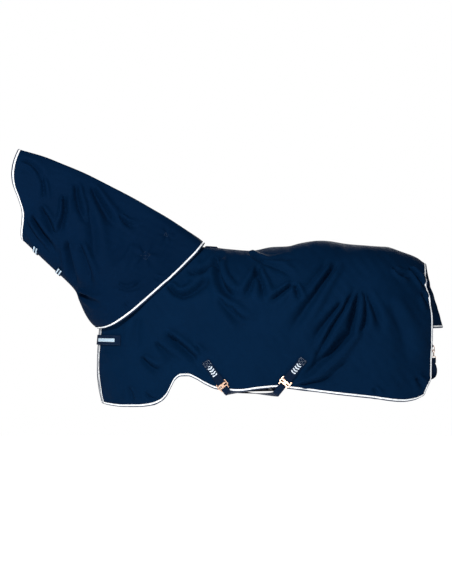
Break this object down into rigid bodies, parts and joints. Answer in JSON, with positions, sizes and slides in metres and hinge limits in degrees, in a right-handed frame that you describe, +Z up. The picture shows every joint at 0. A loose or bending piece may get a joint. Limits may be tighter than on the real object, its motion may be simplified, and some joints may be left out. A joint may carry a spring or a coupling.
{
  "type": "horse turnout rug",
  "caption": "Horse turnout rug with a detachable neck cover, chest closure, crossed surcingles, tail flap and leg straps, in the shape it takes on the horse.",
  "frame": {"origin": "under the lining at the withers, on the horse's centre plane", "axes": "+X towards the tail, +Y to the horse's off (right) side, +Z up"},
  "size_m": [2.4485, 0.6363, 1.4576],
  "materials": {
    "outer_cloth": "woven polyester ripstop, water resistant, slight sheen",
    "lining": "smooth polyester lining",
    "webbing": "woven webbing",
    "piping": "off-white woven binding",
    "reflective": "silver-blue reflective tape",
    "hardware": "rose-gold plated cast hardware"
  },
  "bodies": {
    "rug": {"belly_strap_lower": "webbing", "belly_strap_upper": "webbing", "body_panel_left": "outer_cloth", "body_panel_right": "outer_cloth", "front_edge_binding": "piping", "hem_binding_left": "piping", "hem_binding_right": "piping", "leg_ring_tab_left": "webbing", "leg_ring_tab_right": "webbing", "lining_left": "lining", "lining_right": "lining", "rear_binding_left": "piping", "rear_binding_right": "piping", "shoulder_skirt_left": "outer_cloth", "shoulder_skirt_right": "outer_cloth", "skirt_binding_left": "piping", "skirt_binding_right": "piping", "skirt_lining_left": "lining", "skirt_lining_right": "lining", "surcingle_anchor_front_left": "webbing", "surcingle_anchor_front_right": "webbing", "surcingle_anchor_rear_left": "webbing", "surcingle_anchor_rear_right": "webbing", "surcingle_plate_front_left": "hardware", "surcingle_plate_front_right": "hardware", "surcingle_plate_rear_left": "hardware", "surcingle_plate_rear_right": "hardware", "tee_hook_lower": "hardware", "tee_hook_upper": "hardware"},
    "neck_cover": {"face_binding_left": "piping", "face_binding_right": "piping", "neck_lining_left": "lining", "neck_lining_right": "lining", "neck_panel_left": "outer_cloth", "neck_panel_right": "outer_cloth", "throat_reflector_lower": "reflective", "throat_reflector_upper": "reflective", "throat_strap_lower": "webbing", "throat_strap_upper": "webbing"},
    "chest_flap": {"chest_flap_right": "outer_cloth", "chest_reflector": "reflective", "chest_strap": "webbing"},
    "tail_flap": {"tail_flap": "outer_cloth", "tail_flap_binding": "piping"},
    "leg_strap_left": {"leg_ring_left": "hardware", "leg_snap_left": "hardware", "leg_strap_left": "webbing"},
    "leg_strap_right": {"leg_ring_right": "hardware", "leg_snap_right": "hardware", "leg_strap_right": "webbing"}
  },
  "joints": [
    {"name": "neck_cover_tilt", "type": "hinge", "parent": "rug", "child": "neck_cover", "pos_m": [0, 0, 0], "axis": [0, 1, 0], "range_deg": [-10, 14], "deforming": ["shoulder_skirt_left", "shoulder_skirt_right", "skirt_binding_left", "skirt_binding_right", "skirt_lining_left", "skirt_lining_right"]},
    {"name": "chest_flap_open", "type": "hinge", "parent": "rug", "child": "chest_flap", "pos_m": [-0.4005, 0.22063, -0.66], "axis": [0, 0, -1], "range_deg": [0, 70]},
    {"name": "tail_flap_lift", "type": "hinge", "parent": "rug", "child": "tail_flap", "pos_m": [1.2673, 0, -0.0855], "axis": [0, -1, 0], "range_deg": [0, 75]},
    {"name": "leg_strap_left_swing", "type": "hinge", "parent": "rug", "child": "leg_strap_left", "pos_m": [1.28795, -0.14885, -0.558], "axis": [-0.6603, -0.4402, -0.6084], "range_deg": [-35, 3]},
    {"name": "leg_strap_right_swing", "type": "hinge", "parent": "rug", "child": "leg_strap_right", "pos_m": [1.28795, 0.14885, -0.558], "axis": [0.6603, -0.4402, 0.6084], "range_deg": [-35, 3]}
  ]
}
